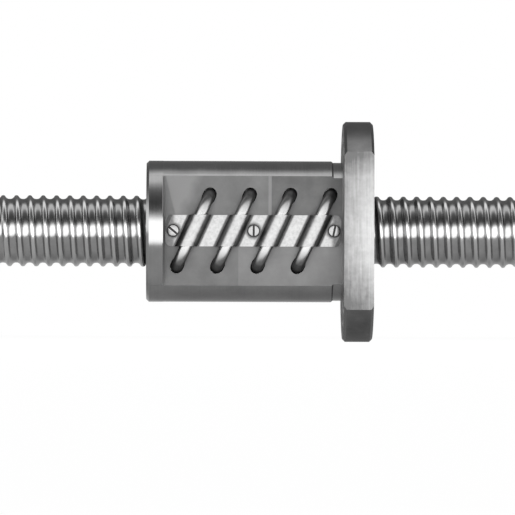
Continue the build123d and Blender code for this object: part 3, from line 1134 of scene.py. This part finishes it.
def makeFloor():
    # seen, a white that keeps some of the shadow; in mirror reflections a darker grey that glows by half
    g = ground
    half = g["size"] / 2
    level = float(cadBox[0][2]) - g["below"]
    mesh = bpy.data.meshes.new("floor")
    corners = [(-half, -half, level), (half, -half, level), (half, half, level), (-half, half, level)]
    mesh.from_pydata(corners, [], [(0, 1, 2, 3)])
    floor = addObject("floor", mesh)
    material, tree = newMaterial("floorWhite")
    shader = setInputs(tree.nodes["Principled BSDF"], {"Roughness": g["rough"]})
    path = tree.nodes.new("ShaderNodeLightPath")
    mirrored = path.outputs["Is Glossy Ray"]
    color = mixColor(tree, mirrored, grey(g["grey"]), grey(g["mirroredGrey"]))
    tree.links.new(color, shader.inputs["Base Color"])
    glow = tree.nodes.new("ShaderNodeEmission")
    tree.links.new(valueMix(tree, mirrored, g["seenGlow"], g["mirroredGlow"]), glow.inputs["Strength"])
    seen = times(tree, path.outputs["Is Camera Ray"], g["seenShare"])
    share = mathNode(tree, "MAXIMUM", seen, times(tree, mirrored, g["mirroredShare"]))
    mix = tree.nodes.new("ShaderNodeMixShader")
    link(tree, (share, shader.outputs[0], glow.outputs[0]), mix.inputs)
    tree.links.new(mix.outputs[0], tree.nodes["Material Output"].inputs["Surface"])
    mesh.materials.append(material)


def glowingSheet(name, points, faces, levels):
    # a surface that lights mirror reflections only, as bright at each point as its level
    mesh = bpy.data.meshes.new(name)
    mesh.from_pydata(points, [], faces.tolist())
    glow = mesh.attributes.new("glow", "FLOAT", "POINT")
    glow.data.foreach_set("value", levels)
    material, tree = newMaterial(name)
    tree.nodes.clear()
    level = tree.nodes.new("ShaderNodeAttribute")
    level.attribute_name = "glow"
    shine = tree.nodes.new("ShaderNodeEmission")
    tree.links.new(level.outputs["Fac"], shine.inputs["Strength"])
    out = tree.nodes.new("ShaderNodeOutputMaterial")
    tree.links.new(shine.outputs[0], out.inputs["Surface"])
    mesh.materials.append(material)
    sheet = addObject(name, mesh)
    sheet.visible_camera = sheet.visible_diffuse = sheet.visible_transmission = False
    sheet.visible_shadow = sheet.visible_volume_scatter = False
    return sheet


# Levels are brightness by height in degrees: 0 is the camera's side, 90 overhead, 180 behind
domeLight = {
    "radius": 4.0,
    "levels": (
        (-90, 0.3), (-20, 0.8), (-9, 1.6), (-4, 3.2), (15, 3.2), (21, 1.9), (25, 0.9), (33, 0.2), (46, 0.1),
        (60, 0.16), (72, 0.3), (80, 0.7), (88, 1.25), (106, 1.25), (114, 0.6), (122, 0.2), (150, 0.16),
        (180, 0.2), (270, 0.3),
    ),
    "frontFrom": 50,  # degrees from the camera's height, either way
    "frontBlur": 15,
    "frontWidth": 0.9,
    "frontEdge": 0.04,
    "sideLevel": 0.26,
    "endFrom": 0.9,
    "endBlur": 0.08,
    "endLevel": 1.8,
    "rows": 180,
    "columns": 61,
}


def domeGlow(across, height):
    # by height from the table; the front part only near the middle, its sides dim, and both ends bright
    d = domeLight
    angle, level = np.array(d["levels"], float).T
    glow = np.interp(np.degrees(height), angle, level)
    frontal = np.clip((d["frontFrom"] - np.abs(np.degrees(height))) / d["frontBlur"], 0, 1)
    inFront = 1 / (1 + np.exp((np.abs(across) - d["frontWidth"]) / d["frontEdge"]))
    ahead = d["sideLevel"] + (glow - d["sideLevel"]) * inFront
    glow = glow + (ahead - glow) * frontal
    ends = np.clip((np.abs(across) - d["endFrom"]) / d["endBlur"], 0, 1)
    return glow + (d["endLevel"] - glow) * ends


def makeDome():
    # a sphere about the part, its poles on the screw's axis: x = a, y = -reach cos h, z = reach sin h
    d = domeLight
    height = np.radians(np.linspace(-90, 270, d["rows"] + 1))[:-1]
    across = np.sin(np.radians(np.linspace(-90, 90, d["columns"])))
    h, a = np.meshgrid(height, across, indexing="ij")
    reach = np.sqrt(1 - a**2)
    points = np.stack([a, -reach * np.cos(h), reach * np.sin(h)], axis=-1).reshape(-1, 3) * d["radius"]
    faces = gridFaces(len(height), len(across), closeRows=True)
    dome = glowingSheet("dome", points, faces, domeGlow(a, h).reshape(-1))


frontCard = {"away": -0.13, "half": 0.5, "fadeAt": 0.72, "foot": 1.0, "level": 3.0}


def makeFrontCard():
    # carries the bright band of the dome on down to the floor
    c = frontCard
    rows = float(cadBox[0][2]) * np.array([1.0, c["fadeAt"], 0.0])
    points = [(side, c["away"], row) for row in rows for side in (-c["half"], c["half"])]
    levels = np.repeat([c["foot"], c["level"], c["level"]], 2)
    card = glowingSheet("frontCard", points, gridFaces(3, 2), levels)


topLamp = {"place": (-0.3, -0.6, 1.6), "aim": (-0.04, 0.0, 0.0), "size": 1.2, "power": 26.0}


def makeLamp():
    # a soft square lamp above the part, left out of mirror reflections
    data = bpy.data.lights.new("topLamp", "AREA")
    data.energy = topLamp["power"]
    data.size = topLamp["size"]
    lamp = addObject("topLamp", data)
    lamp.location = topLamp["place"]
    way = np.array(topLamp["aim"]) - np.array(topLamp["place"])
    lamp.rotation_euler = mathutils.Vector(way).to_track_quat("-Z", "Y").to_euler()
    lamp.visible_glossy = False


makeWorld()
makeFloor()
makeDome()
makeFrontCard()
makeLamp()
bpy.context.scene.view_settings.view_transform = "Standard"
print("studio made")
